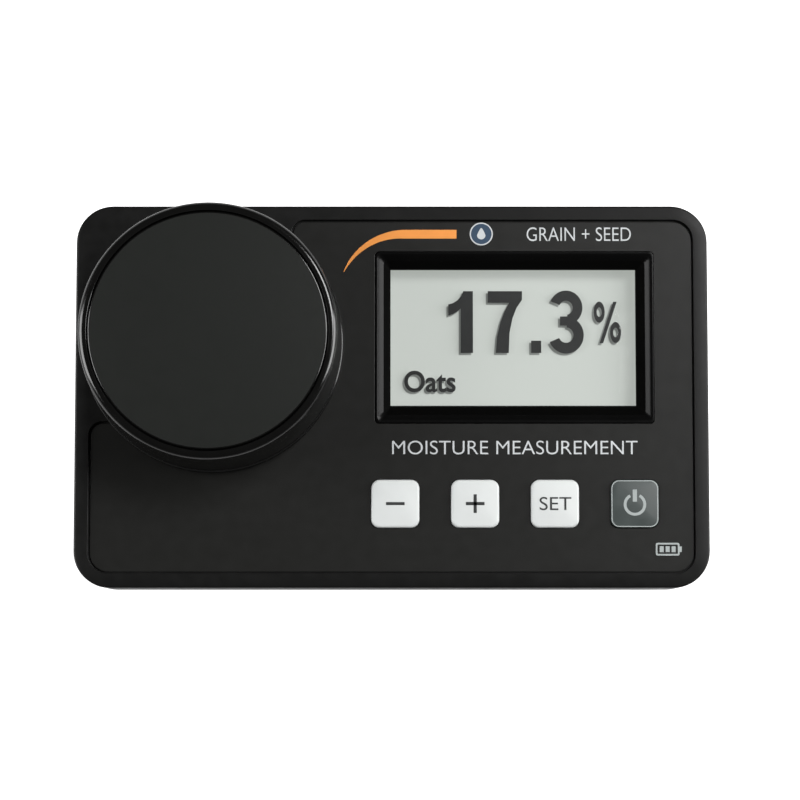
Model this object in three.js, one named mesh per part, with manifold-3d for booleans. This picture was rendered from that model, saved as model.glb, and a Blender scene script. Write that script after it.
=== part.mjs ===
// A hand-held grain moisture meter: a two-part plastic case with a flat control
// panel, a recessed display, four push keys, a deep sample chamber with a pair of
// capacitive electrodes, a screw cap that carries a free-turning press disc, and
// a compartment for four AA cells behind a hooked door in the base.
// Millimetres. The meter stands on its feet: +Z is up, +X is to the user's right,
// +Y points away from the user, and the origin is under the middle of the case.
import * as THREE from 'three';
import { mergeVertices } from 'three/addons/utils/BufferGeometryUtils.js';
import Module from 'manifold-3d';

const wasm = await Module();
wasm.setup();

// ---- driving dimensions ----
const rest = 0.05;          // gap left where one piece rests on another
const slip = 0.15;          // gap all round a piece that slides
const caseSize = {
  width: 150, depth: 91, corner: 8.7, wall: 2.4,
  baseZ: 1.5, seamZ: 28, topZ: 45.6,
  seamInset: 0.5, baseInset: 3.5, topRound: 1.1, baseRound: 2,
};
const panel = {
  z: 45, film: 0.4, border: 3.7, corner: 4.8, gap: 0.25, ceilingZ: 42.1,
  notchX: -23.6, notchY: -6.4, notchCornerTop: 2.5, notchCornerSide: 3,
};
const chamber = {
  x: -42.3, y: 12.5, outerR: 26.2, innerR: 23.5, bottomZ: 9, floorZ: 12, rimZ: 64.5,
  flangeR: 29.2, flangeLowZ: 39.4, flangeTopZ: 41.4, sealInnerR: 27.9,
};
const thread = {
  lead: 8, starts: 2, turns: 0.75, baseWidth: 2.4, crestWidth: 1.2, height: 0.65,
  maleZ: 52, femaleZ: 50, boreR: 27.9,
};
const cap = {
  baseZ: 46, topZ: 70, baseR: 30.9, shoulderR: 29.85, shoulderZ: 68.3, rimR: 28.1,
  ceilingZ: 66.4, plateR: 27.5, plateZ: 67.6, hubR: 6, hubZ: 62.6,
};
const display = {
  x: 29.1, y: 14.02, width: 65.5, depth: 40.6, viewX: 28.9, viewY: 14.55,
  viewWidth: 58.4, viewDepth: 32.8, rim: 0.6, bezelZ: 40.6, windowZ: 39.5, glassZ: 37.6,
  backlightZ: 34.75, boardZ: 33, board: [66.4, 41], flange: [67.2, 42.6], window: [62, 36.5],
  glass: [63, 37.4], frame: [66, 40.4], frameInside: [63.6, 38], frameView: [60, 34.4],
};
const keys = {
  names: ['minus', 'plus', 'set', 'power'],
  firstX: 0.85, pitch: 18.82, y: -25.6, size: 11.35, corner: 1.8, rise: 0.9, edge: 0.5,
  flange: 13.4, flangeDepth: 1.4, stemR: 2.2, stemZ: 37.4, plungerR: 1.7, switchSize: 6,
};
const board = {
  lowX: -11, highX: 61, lowY: -37, highY: 40.8, lowZ: 30.2, highZ: 31.8,
  posts: [[-8, -34.8], [58, -34.8], [-8, 38.6], [58, 38.6]], postR: 2.2,
};
const cell = { length: 50.5, radius: 7.25, pitch: 15.2, firstX: 10.2, y: 0.25, z: 11.45 };
const bay = {
  lowX: 2.2, highX: 63.8, lowY: -29, highY: 29.5, roofZ: 19.6, wall: 1.6,
  doorLowX: 3, doorHighX: 63, doorLowY: -28, doorHighY: 28.5, doorGap: 0.3, doorZ: 1.6,
};
const disc = { lowZ: 57.6, radius: 22, highZ: 61.4, hubR: 6.5, hubZ: 62.4, boreR: 1.65, wellR: 3.4 };
const caseScrew = { headLowZ: 2.8, headHighZ: 4.9, headR: 2.6, shankR: 1.45, tipZ: 39.5 };
const pivotScrew = { headLowZ: 57.8, headHighZ: 59.5, headR: 3, shankR: 1.45, tipZ: 66.5 };
const screwPlaces = [[-66.3, 36.3], [66.3, 36.3], [66.3, -36.3], [-66.3, -36.3]];
const footPlaces = [[-52, 34.5], [52, 34.5], [52, -34.5], [-52, -34.5]];
const round = { large: 48, medium: 32, small: 16 };   // facets round a full turn

// ---- materials ----
const finish = (color, roughness, metalness = 0) =>
  new THREE.MeshStandardMaterial({ color, roughness, metalness });
const materials = {
  casePlastic: finish(0x232322, 0.5),
  capPlastic: finish(0x161616, 0.25),
  capFace: finish(0x282a28, 0.55),
  film: finish(0x2e2e2d, 0.45),
  bezel: finish(0x0c0c0c, 0.15),
  window: finish(0xe8eeee, 0.05),
  lcd: finish(0xc8cdc7, 0.35),
  diffuser: finish(0xf2f2ec, 0.6),
  whiteKey: finish(0xd6dad8, 0.4),
  greyKey: finish(0x525957, 0.4),
  circuit: finish(0x1f5a3a, 0.5),
  chip: finish(0x18181a, 0.5),
  tin: finish(0xb8bab8, 0.35, 1),
  steel: finish(0xa8aaab, 0.3, 1),
  brass: finish(0xb99a55, 0.3, 1),
  rubber: finish(0x111111, 0.85),
  chamberPlastic: finish(0x33363a, 0.5),
  cellJacket: finish(0x35506b, 0.4),
  lead: finish(0x9a2a22, 0.5),
};

// ---- solids from three.js geometry ----
function toSolid(geometry) {
  const bare = geometry.clone();
  bare.deleteAttribute('normal');
  bare.deleteAttribute('uv');
  const merged = mergeVertices(bare, 1e-4);
  return new wasm.Manifold(new wasm.Mesh({
    numProp: 3,
    vertProperties: merged.attributes.position.array,
    triVerts: new Uint32Array(merged.index.array),
  }));
}

function toGeometry(solid) {
  const made = solid.getMesh();
  const geometry = new THREE.BufferGeometry();
  geometry.setAttribute('position', new THREE.BufferAttribute(made.vertProperties, 3));
  geometry.setIndex(new THREE.BufferAttribute(made.triVerts, 1));
  const flat = geometry.toNonIndexed();
  flat.computeVertexNormals();
  return flat;
}

const join = (first, ...others) => others.reduce((sum, next) => sum.add(next), first);
const cut = (first, ...others) => others.reduce((left, next) => left.subtract(next), first);

function block(lowX, highX, lowY, highY, lowZ, highZ) {
  const box = new THREE.BoxGeometry(highX - lowX, highY - lowY, highZ - lowZ);
  box.translate((lowX + highX) / 2, (lowY + highY) / 2, (lowZ + highZ) / 2);
  return toSolid(box);
}

function plate(x, y, width, depth, lowZ, highZ) {
  return block(x - width / 2, x + width / 2, y - depth / 2, y + depth / 2, lowZ, highZ);
}

function rod(radius, x, y, lowZ, highZ, facets = round.small) {
  const shape = new THREE.CylinderGeometry(radius, radius, highZ - lowZ, facets);
  shape.rotateX(Math.PI / 2);
  shape.translate(x, y, (lowZ + highZ) / 2);
  return toSolid(shape);
}

// A body of revolution about the vertical line through (x, y); profile is [radius, z] pairs.
function turned(profile, x, y, facets) {
  const points = profile.map(([radius, z]) => new THREE.Vector2(radius, z));
  const shape = new THREE.LatheGeometry(points, facets);
  shape.rotateX(Math.PI / 2);
  shape.translate(x, y, 0);
  return toSolid(shape);
}

const ring = (inner, outer, x, y, lowZ, highZ, facets) => turned(
  [[inner, lowZ], [outer, lowZ], [outer, highZ], [inner, highZ], [inner, lowZ]], x, y, facets,
);

function roundedRect(width, depth, radius, x = 0, y = 0) {
  const right = x + width / 2 - radius;
  const left = x - width / 2 + radius;
  const far = y + depth / 2 - radius;
  const near = y - depth / 2 + radius;
  const shape = new THREE.Shape();
  shape.absarc(right, near, radius, -Math.PI / 2, 0);
  shape.absarc(right, far, radius, 0, Math.PI / 2);
  shape.absarc(left, far, radius, Math.PI / 2, Math.PI);
  shape.absarc(left, near, radius, Math.PI, Math.PI * 1.5);
  return shape;
}

// A shape pulled up from lowZ to highZ. bevel rounds both ends inside the outline.
function slab(shape, lowZ, highZ, { bevel = 0, segments = 2, curveSegments = 4 } = {}) {
  const geometry = new THREE.ExtrudeGeometry(shape, {
    depth: highZ - lowZ - 2 * bevel,
    curveSegments,
    bevelEnabled: bevel > 0,
    bevelThickness: bevel,
    bevelSize: bevel,
    bevelOffset: -bevel,
    bevelSegments: segments,
  });
  geometry.translate(0, 0, lowZ + bevel);
  return geometry;
}

const slabSolid = (...args) => toSolid(slab(...args));

// How far the case's sides have moved in at a height: almost upright above the seam, leaning in below it.
function insetAt(z) {
  const { baseZ, seamZ, topZ, seamInset, baseInset } = caseSize;
  if (z >= seamZ) return seamInset * (topZ - z) / (topZ - seamZ);
  return seamInset + (baseInset - seamInset) * (seamZ - z) / (seamZ - baseZ);
}

function leaning(geometry) {
  const place = geometry.attributes.position;
  for (let i = 0; i < place.count; i += 1) {
    const inset = insetAt(place.getZ(i));
    place.setX(i, place.getX(i) * (1 - 2 * inset / caseSize.width));
    place.setY(i, place.getY(i) * (1 - 2 * inset / caseSize.depth));
  }
  return toSolid(geometry);
}

// The case's outline, wall inside it, from lowZ to highZ.
function caseBlock(wall, lowZ, highZ, bevel = 0) {
  const outline = roundedRect(
    caseSize.width - 2 * wall, caseSize.depth - 2 * wall, caseSize.corner - wall,
  );
  return leaning(slab(outline, lowZ, highZ, { bevel, segments: 2, curveSegments: 6 }));
}

// A block whose lower and upper rectangles differ: each is [x, y, width, depth].
function tapered(lower, upper, lowZ, highZ) {
  const box = new THREE.BoxGeometry(1, 1, 1);
  const place = box.attributes.position;
  for (let i = 0; i < place.count; i += 1) {
    const [x, y, width, depth] = place.getZ(i) > 0 ? upper : lower;
    place.setXYZ(
      i, x + place.getX(i) * width, y + place.getY(i) * depth, place.getZ(i) > 0 ? highZ : lowZ,
    );
  }
  return toSolid(box);
}

// One start of a screw thread: a straight ridge wound round the upright axis.
// Positive height stands out from the radius, negative height stands in.
function threadRidge(radius, height, startZ, startAngle) {
  const root = -Math.sign(height) * 0.5;      // how far the ridge is sunk in its wall
  const half = [thread.baseWidth / 2, thread.crestWidth / 2];
  const section = new THREE.Shape([
    new THREE.Vector2(root, -half[0]), new THREE.Vector2(height, -half[1]),
    new THREE.Vector2(height, half[1]), new THREE.Vector2(root, half[0]),
  ]);
  const steps = thread.turns * round.large / 2;   // stations fall midway along the wall's facets
  const ridge = new THREE.ExtrudeGeometry(section, { depth: 1, steps, bevelEnabled: false });
  const place = ridge.attributes.position;
  for (let i = 0; i < place.count; i += 1) {
    const along = 1 - place.getZ(i);          // wound backwards, which keeps the faces outward
    const angle = startAngle + (2 * along * steps + 0.5) / round.large * 2 * Math.PI;
    const r = radius + place.getX(i);
    const z = startZ + place.getY(i) + along * thread.turns * thread.lead;
    place.setXYZ(i, chamber.x + r * Math.cos(angle), chamber.y + r * Math.sin(angle), z);
  }
  return toSolid(ridge);
}

function threadRidges(radius, height, startZ) {
  const ridges = [];
  for (let start = 0; start < thread.starts; start += 1) {
    ridges.push(threadRidge(radius, height, startZ, start * 2 * Math.PI / thread.starts));
  }
  return ridges;
}

// ---- the meter ----
const meter = new THREE.Group();
function addPiece(name, solid, material) {
  const mesh = new THREE.Mesh(toGeometry(solid), material);
  mesh.name = name;
  meter.add(mesh);
}

// The panel film's outline: a rounded rectangle, with a corner left out round the chamber.
function panelOutline(grow) {
  const halfWidth = caseSize.width / 2 - panel.border + grow;
  const halfDepth = caseSize.depth / 2 - panel.border + grow;
  const corner = panel.corner + grow;
  const notchX = panel.notchX - grow;
  const notchY = panel.notchY + grow;
  const top = panel.notchCornerTop + grow;
  const side = panel.notchCornerSide + grow;
  const clear = cap.baseR - 1.2 - grow;       // radius of the film's edge under the cap
  const fromAngle = Math.acos((notchX - chamber.x) / clear);
  const toAngle = Math.asin((notchY - chamber.y) / clear);
  const shape = new THREE.Shape();
  shape.absarc(halfWidth - corner, corner - halfDepth, corner, -Math.PI / 2, 0);
  shape.absarc(halfWidth - corner, halfDepth - corner, corner, 0, Math.PI / 2);
  shape.absarc(notchX + top, halfDepth - top, top, Math.PI / 2, Math.PI);
  shape.absarc(chamber.x, chamber.y, clear, fromAngle, -Math.PI - toAngle, true);
  shape.absarc(side - halfWidth, notchY - side, side, Math.PI / 2, Math.PI);
  shape.absarc(corner - halfWidth, corner - halfDepth, corner, Math.PI, Math.PI * 1.5);
  return shape;
}

const keyX = (index) => keys.firstX + index * keys.pitch;
const keyOutline = (index, grow = 0) => roundedRect(
  keys.size + 2 * grow, keys.size + 2 * grow, keys.corner + grow, keyX(index), keys.y,
);
const displayOutline = (grow) => roundedRect(
  display.width + 2 * grow, display.depth + 2 * grow, 0.8 + grow, display.x, display.y,
);

// Cutters for what passes through the panel: the display and the keys.
function panelCutters(lowZ, highZ) {
  const cutters = keys.names.map(
    (_, index) => slabSolid(keyOutline(index, slip), lowZ, highZ, { curveSegments: 2 }),
  );
  cutters.push(slabSolid(displayOutline(slip), lowZ, highZ, { curveSegments: 2 }));
  return cutters;
}

function frontShell() {
  const { wall, seamZ, topZ, topRound } = caseSize;
  const below = block(-80, 80, -50, 50, seamZ - 5, seamZ);
  let shell = cut(caseBlock(0, seamZ - 3, topZ, topRound), below);
  shell = cut(shell, caseBlock(wall, seamZ - 1, panel.ceilingZ));
  for (const [x, y] of screwPlaces) {
    shell = join(shell, rod(3.2, x, y, seamZ, panel.ceilingZ + 1));
    shell = cut(shell, rod(1.5, x, y, seamZ - 1, 40.5, 12));
  }
  for (const [x, y] of board.posts) {
    shell = join(shell, rod(board.postR, x, y, board.highZ + rest, panel.ceilingZ + 1));
    shell = cut(shell, rod(1, x, y, board.highZ - 1, 39, 12));
  }
  const recess = slabSolid(panelOutline(panel.gap), panel.z - panel.film - rest, topZ + 1);
  const mouth = rod(
    thread.boreR - 0.3, chamber.x, chamber.y, panel.ceilingZ - 1, topZ + 1, round.large,
  );
  return cut(shell, recess, mouth, ...panelCutters(panel.ceilingZ - 1, topZ + 1));
}

function rearShell() {
  const { wall, baseZ, seamZ, baseRound } = caseSize;
  const top = seamZ - 0.4;                    // the gasket fills what is left below the seam
  const floorZ = baseZ + wall;
  const above = block(-80, 80, -50, 50, top, seamZ + 5);
  let shell = cut(caseBlock(0, baseZ, seamZ + 3, baseRound), above);
  shell = cut(shell, caseBlock(wall, floorZ, seamZ + 1));
  for (const [x, y] of screwPlaces) {
    shell = join(shell, rod(4.2, x, y, baseZ + 1, 8), rod(3.4, x, y, 7, top));
    shell = cut(shell, rod(2.9, x, y, baseZ - 1, 5), rod(1.6, x, y, 4, top + 1, 12));
  }
  for (const [x, y] of footPlaces) shell = cut(shell, rod(4.6, x, y, baseZ - 1, baseZ + 0.8));
  const chair = ring(23.5, 25.8, chamber.x, chamber.y, baseZ + 1, chamber.bottomZ - rest, round.medium);
  shell = join(shell, chair);
  shell = cut(shell, plate(chamber.x + 25, chamber.y, 8, 4, floorZ, chamber.bottomZ + 1));
  const { wall: thin } = bay;
  shell = join(shell, block(
    bay.lowX - thin, bay.highX + thin, bay.lowY - thin, bay.highY + thin, baseZ + 1, bay.roofZ + thin,
  ));
  shell = cut(shell, block(bay.lowX, bay.highX, bay.lowY, bay.highY, floorZ, bay.roofZ));
  shell = cut(shell, block(
    bay.doorLowX, bay.doorHighX, bay.doorLowY, bay.doorHighY, baseZ - 1, floorZ + 1,
  ));
  for (const x of terminalPlaces()) {
    shell = cut(shell, plate(x, bay.lowY + 1, 5, 2, bay.roofZ - 1, bay.roofZ + thin + 1));
  }
  return shell;
}

function shellGasket() {
  const low = caseSize.seamZ - 0.4 + rest;
  const high = caseSize.seamZ - rest;
  return cut(caseBlock(0.7, low, high), caseBlock(1.9, low - 1, high + 1));
}

function frontOverlay() {
  const lowZ = panel.z - panel.film;
  const film = slabSolid(panelOutline(0), lowZ, panel.z);
  return cut(film, ...panelCutters(lowZ - 1, panel.z + 1));
}

// ---- display ----
function displayBezel() {
  const topZ = panel.z + 0.1;
  const tube = slabSolid(displayOutline(0), display.bezelZ, topZ, { curveSegments: 2 });
  const flange = plate(
    display.x, display.y, ...display.flange, display.bezelZ, panel.ceilingZ - rest,
  );
  const view = [display.viewX, display.viewY, display.viewWidth, display.viewDepth];
  const mouth = [
    display.x, display.y, display.width - 2 * display.rim, display.depth - 2 * display.rim,
  ];
  const funnel = tapered(view, mouth, display.bezelZ, topZ);
  const throat = plate(...view, display.bezelZ - 1, display.bezelZ + 0.2);
  const mouthTop = plate(...mouth, topZ - 0.01, topZ + 1);
  return cut(join(tube, flange), funnel, throat, mouthTop);
}

function lcdFrame() {
  const { viewX: x, viewY: y, backlightZ, windowZ, frame, frameInside, frameView } = display;
  const tray = plate(x, y, ...frame, backlightZ - 0.1, windowZ - 0.1);
  const inside = plate(x, y, ...frameInside, backlightZ - 1, windowZ - 0.25);
  const view = plate(x, y, ...frameView, windowZ - 1, windowZ + 1);
  return cut(tray, inside, view);
}

function addDisplay() {
  const { viewX: x, viewY: y, bezelZ, windowZ, glassZ, backlightZ, boardZ } = display;
  const { window: pane, glass } = display;
  addPiece('display_bezel', displayBezel(), materials.bezel);
  addPiece('display_window', plate(x, y, ...pane, windowZ, bezelZ - 0.1), materials.window);
  addPiece('lcd_frame', lcdFrame(), materials.tin);
  addPiece('lcd_glass', plate(x, y, ...glass, glassZ, windowZ - 0.3), materials.lcd);
  addPiece('lcd_backlight', plate(x, y, ...glass, backlightZ, glassZ - 0.1), materials.diffuser);
  addPiece('lcd_board', plate(x, y, ...display.board, boardZ, boardZ + 1.6), materials.circuit);
  addPiece('lcd_header', plate(x, 32, 40, 2.5, board.highZ + rest, boardZ - rest), materials.chip);
}

// ---- electronics ----
function mainBoard() {
  let made = block(board.lowX, board.highX, board.lowY, board.highY, board.lowZ, board.highZ);
  for (const [x, y] of board.posts) made = cut(made, rod(1.2, x, y, board.lowZ - 1, board.highZ + 1, 12));
  for (const x of terminalPlaces()) {
    made = cut(made, plate(x, bay.lowY + 0.3, 3.4, 1.4, board.lowZ - 1, board.highZ + 1));
  }
  return made;
}

function keySwitch(index) {
  const low = board.highZ + rest;
  const body = plate(keyX(index), keys.y, keys.switchSize, keys.switchSize, low, low + 3.5);
  return cut(body, rod(keys.plungerR + slip, keyX(index), keys.y, low + 1.8, low + 5));
}

const screwProfile = ({ headLowZ, headHighZ, headR, shankR, tipZ }) => [
  [0, headLowZ], [headR, headLowZ], [headR, headHighZ],
  [shankR, headHighZ], [shankR, tipZ], [0, tipZ],
];

function addElectronics() {
  addPiece('main_board', mainBoard(), materials.circuit);
  addPiece('mcu_chip', plate(25, -13, 12, 12, board.highZ + rest, board.highZ + 1.5), materials.chip);
  keys.names.forEach((_, index) => {
    addPiece(`key_switch_${index + 1}`, keySwitch(index), materials.chip);
  });
  board.posts.forEach(([x, y], index) => {
    const profile = screwProfile({
      headLowZ: board.lowZ - 1.6, headHighZ: board.lowZ - rest, headR: 2, shankR: 0.95, tipZ: 37,
    });
    addPiece(`board_screw_${index + 1}`, turned(profile, x, y, 12), materials.steel);
  });
}

// ---- keys ----
function keyCap(index) {
  const x = keyX(index);
  const top = panel.z + keys.rise;
  const button = slabSolid(keyOutline(index), 41, top, { bevel: keys.edge, curveSegments: 2 });
  const flangeTop = panel.ceilingZ - rest;
  const flange = plate(x, keys.y, keys.flange, keys.flange, flangeTop - keys.flangeDepth, flangeTop);
  const stem = rod(keys.stemR, x, keys.y, keys.stemZ, flangeTop - 0.5);
  return join(button, flange, stem);
}

function addKeys() {
  keys.names.forEach((name, index) => {
    const material = name === 'power' ? materials.greyKey : materials.whiteKey;
    addPiece(`key_${name}`, keyCap(index), material);
    const lowZ = board.highZ + 2.8;
    const plunger = rod(keys.plungerR, keyX(index), keys.y, lowZ, keys.stemZ - rest);
    addPiece(`key_plunger_${index + 1}`, plunger, materials.chip);
  });
}

// ---- sample chamber ----
function chamberCup() {
  const { x, y, outerR, innerR, bottomZ, floorZ, rimZ, flangeR, flangeLowZ, flangeTopZ } = chamber;
  const cup = turned([
    [0, bottomZ], [outerR, bottomZ], [outerR, flangeLowZ], [flangeR, flangeLowZ],
    [flangeR, flangeTopZ], [outerR, flangeTopZ], [outerR, rimZ - 0.5], [outerR - 0.5, rimZ],
    [innerR + 0.5, rimZ], [innerR, rimZ - 0.5], [innerR, floorZ], [0, floorZ],
  ], x, y, round.large);
  const stemHole = rod(2.2, x, y, bottomZ - 1, floorZ + 1);
  const probeHole = rod(1.7, x + 14, y, bottomZ - 1, floorZ + 1);
  const drilled = cut(cup, stemHole, probeHole);
  return join(drilled, ...threadRidges(outerR, thread.height, thread.maleZ));
}

function innerElectrode() {
  const { x, y, floorZ } = chamber;
  const low = floorZ + rest;
  return turned([
    [0, 4.8], [2, 4.8], [2, low], [6, low], [6, 36], [5.2, 38.5], [3, 40], [0, 40.5],
  ], x, y, round.medium);
}

function hexNut(x, y, lowZ, highZ) {
  return cut(rod(3.6, x, y, lowZ, highZ, 6), rod(2.1, x, y, lowZ - 1, highZ + 1));
}

// The lead from the inner electrode: out under the cup, up beside it and over to the board.
function signalLead() {
  const { x, y } = chamber;
  const path = new THREE.CatmullRomCurve3([
    new THREE.Vector3(x + 4.2, y, 7.2), new THREE.Vector3(x + 14, y, 6.2),
    new THREE.Vector3(x + 25, y, 6.2), new THREE.Vector3(x + 28, y, 9),
    new THREE.Vector3(x + 28.2, y, 16), new THREE.Vector3(x + 28.2, y, 26),
    new THREE.Vector3(x + 28.6, y - 1, 31), new THREE.Vector3(x + 31, y - 3, 33),
    new THREE.Vector3(x + 33.4, y - 4, 32.9),
  ]);
  const section = new THREE.Shape();
  section.absarc(0, 0, 0.8, 0, Math.PI * 2);
  return toSolid(new THREE.ExtrudeGeometry(section, {
    steps: 24, curveSegments: 4, extrudePath: path, bevelEnabled: false,
  }));
}

function addChamber() {
  const { x, y, innerR, floorZ, bottomZ, flangeR, flangeTopZ, sealInnerR } = chamber;
  addPiece('chamber_cup', chamberCup(), materials.chamberPlastic);
  const sealTop = panel.ceilingZ - rest;
  const seal = ring(sealInnerR, flangeR, x, y, flangeTopZ + rest, sealTop, round.medium);
  const sleeve = ring(innerR - 0.7, innerR - 0.1, x, y, floorZ + 0.5, 57, round.large);
  addPiece('chamber_seal', seal, materials.rubber);
  addPiece('outer_electrode', sleeve, materials.steel);
  addPiece('inner_electrode', innerElectrode(), materials.steel);
  addPiece('electrode_nut', hexNut(x, y, bottomZ - 2.6, bottomZ - rest), materials.brass);
  const probe = turned([[0, 7.4], [1.5, 7.4], [1.5, 14.5], [0.9, 15.2], [0, 15.2]], x + 14, y, round.small);
  addPiece('temperature_probe', probe, materials.steel);
  addPiece('signal_lead', signalLead(), materials.lead);
}

// ---- screw cap ----
function capBody() {
  const { baseZ, topZ, baseR, shoulderR, shoulderZ, rimR, ceilingZ, plateR, plateZ, hubR, hubZ } = cap;
  const profile = [
    [0, hubZ], [hubR, hubZ], [hubR, ceilingZ], [thread.boreR, ceilingZ], [thread.boreR, baseZ],
    [baseR - 0.5, baseZ], [baseR, baseZ + 0.5], [baseR, baseZ + 1.4], [baseR - 0.3, baseZ + 1.7],
  ];
  const steps = 4;                             // facets on the rounded shoulder
  for (let i = 0; i <= steps; i += 1) {
    const turn = i / steps * Math.PI / 2;
    profile.push([
      rimR + (shoulderR - rimR) * Math.cos(turn), shoulderZ + (topZ - shoulderZ) * Math.sin(turn),
    ]);
  }
  profile.push([plateR + 0.25, topZ], [plateR + 0.25, plateZ], [0, plateZ]);
  const shell = turned(profile, chamber.x, chamber.y, round.large);
  const bored = cut(shell, rod(1.5, chamber.x, chamber.y, hubZ - 1, ceilingZ + 0.2, 12));
  return join(bored, ...threadRidges(thread.boreR, -thread.height, thread.femaleZ));
}

function capTopPlate() {
  const { plateR, plateZ, topZ } = cap;
  return turned([
    [0, plateZ + rest], [plateR, plateZ + rest], [plateR, topZ - 0.3], [plateR - 0.3, topZ - 0.05],
    [plateR - 1.1, topZ - 0.35], [0, topZ - 0.35],
  ], chamber.x, chamber.y, round.large);
}

function pressDisc() {
  const { x, y } = chamber;
  const { lowZ, radius, highZ, hubR, hubZ, boreR, wellR } = disc;
  const plateSolid = turned([
    [0, lowZ], [14, lowZ], [radius - 1.5, lowZ + 0.8], [radius, lowZ + 1.8],
    [radius, highZ - 0.6], [radius - 1.2, highZ], [hubR, highZ], [hubR, hubZ], [0, hubZ],
  ], x, y, round.large);
  return cut(
    plateSolid, rod(boreR, x, y, lowZ - 1, hubZ + 1), rod(wellR, x, y, lowZ - 1, lowZ + 2),
  );
}

function addCap() {
  const { x, y, rimZ, innerR, outerR } = chamber;
  addPiece('cap_body', capBody(), materials.capPlastic);
  addPiece('cap_top_plate', capTopPlate(), materials.capFace);
  const seal = ring(innerR + 0.3, outerR - 0.2, x, y, rimZ + rest, cap.ceilingZ - rest, round.medium);
  addPiece('cap_seal', seal, materials.rubber);
  addPiece('press_disc', pressDisc(), materials.chamberPlastic);
  addPiece('pivot_screw', turned(screwProfile(pivotScrew), x, y, 12), materials.steel);
}

// ---- batteries ----
const cellX = (index) => cell.firstX + index * cell.pitch;
const tabX = (index) => cellX(index) - 3.6;     // a terminal's tab stands off its cell's middle
function terminalPlaces() {
  return [tabX(0), tabX(3)];
}

// A cell lying along Y; direction 1 has its button at +Y, and -1 at -Y.
function batteryCell(index, direction) {
  const half = cell.length / 2;
  const profile = [
    [0, -half], [6.4, -half], [cell.radius, -half + 0.8], [cell.radius, half - 2.2],
    [6.4, half - 1.3], [2.7, half - 1.3], [2.7, half], [0, half],
  ];
  const points = profile.map(([radius, along]) => new THREE.Vector2(radius, along));
  const shape = new THREE.LatheGeometry(points, 20);
  if (direction < 0) shape.rotateX(Math.PI);
  shape.translate(cellX(index), cell.y, cell.z);
  return toSolid(shape);
}

// A flat spring strip that bears on cells first to last at one end of the bay, with an
// upright tab to the board where it is a terminal. side is 1 at +Y and -1 at -Y.
function batteryContact(first, last, side, terminal) {
  const wallY = side > 0 ? bay.highY - rest : bay.lowY + rest;
  const across = (near, far) => [Math.min(wallY - side * near, wallY - side * far),
    Math.max(wallY - side * near, wallY - side * far)];
  const [lowY, highY] = across(0, 0.5);
  let strip = block(cellX(first) - 5, cellX(last) + 5, lowY, highY, 6, 17);
  for (let index = first; index <= last; index += 1) {
    const [nearY, farY] = across(0.4, 2.9);
    const bump = new THREE.CylinderGeometry(1.6, 4.2, farY - nearY, 16);
    if (side > 0) bump.rotateX(Math.PI);
    bump.translate(cellX(index), (nearY + farY) / 2, cell.z);
    strip = join(strip, toSolid(bump));
  }
  if (!terminal) return strip;
  const tabTop = board.highZ + 0.8;
  return join(strip, block(tabX(first) - 1.4, tabX(first) + 1.4, lowY, highY, 16, tabTop));
}

function batteryDoor() {
  const { doorLowX, doorHighX, doorLowY, doorHighY, doorGap, doorZ } = bay;
  const lowX = doorLowX + doorGap;
  const highX = doorHighX - doorGap;
  const lowY = doorLowY + doorGap;
  const highY = doorHighY - doorGap;
  let door = block(lowX, highX, lowY, highY, doorZ, doorZ + 2);
  for (const x of [doorLowX + 12, doorHighX - 12]) {      // hooks that reach over the floor
    door = join(door, block(x - 4, x + 4, highY - 2.4, highY, doorZ + 1, doorZ + 3.4));
    door = join(door, block(x - 4, x + 4, highY - 2.4, bay.highY - 0.6, doorZ + 2.5, doorZ + 3.4));
  }
  const middle = (doorLowX + doorHighX) / 2;
  for (let groove = 0; groove < 5; groove += 1) {         // finger grip
    const y = lowY + 4 + groove * 2.4;
    door = cut(door, block(middle - 9, middle + 9, y, y + 1.1, doorZ - 1, doorZ + 0.6));
  }
  return door;
}

function addBatteries() {
  for (let index = 0; index < 4; index += 1) {
    addPiece(`battery_${index + 1}`, batteryCell(index, index % 2 ? -1 : 1), materials.cellJacket);
  }
  const contacts = [
    [0, 1, 1, false], [2, 3, 1, false], [1, 2, -1, false], [0, 0, -1, true], [3, 3, -1, true],
  ];
  contacts.forEach((contact, index) => {
    addPiece(`battery_contact_${index + 1}`, batteryContact(...contact), materials.tin);
  });
  addPiece('battery_door', batteryDoor(), materials.casePlastic);
}

// ---- case, feet and screws ----
function addCase() {
  addPiece('front_shell', frontShell(), materials.casePlastic);
  addPiece('rear_shell', rearShell(), materials.casePlastic);
  addPiece('shell_gasket', shellGasket(), materials.rubber);
  addPiece('front_overlay', frontOverlay(), materials.film);
  screwPlaces.forEach(([x, y], index) => {
    addPiece(`case_screw_${index + 1}`, turned(screwProfile(caseScrew), x, y, 12), materials.steel);
  });
  footPlaces.forEach(([x, y], index) => {
    const top = caseSize.baseZ + 0.8 - rest;
    const foot = turned([[0, 0], [3.9, 0], [4.4, 0.5], [4.4, top], [0, top]], x, y, round.small);
    addPiece(`foot_${index + 1}`, foot, materials.rubber);
  });
}

addCase();
addDisplay();
addElectronics();
addKeys();
addChamber();
addCap();
addBatteries();

export default meter;
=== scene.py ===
# Looks for a hand-held grain moisture meter: fine surfaces, printed marks and
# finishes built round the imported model. Shapes are made in millimetres and
# scaled to metres when each one becomes a piece.
import math

import bmesh
import bpy
from mathutils import Matrix, Vector


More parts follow.
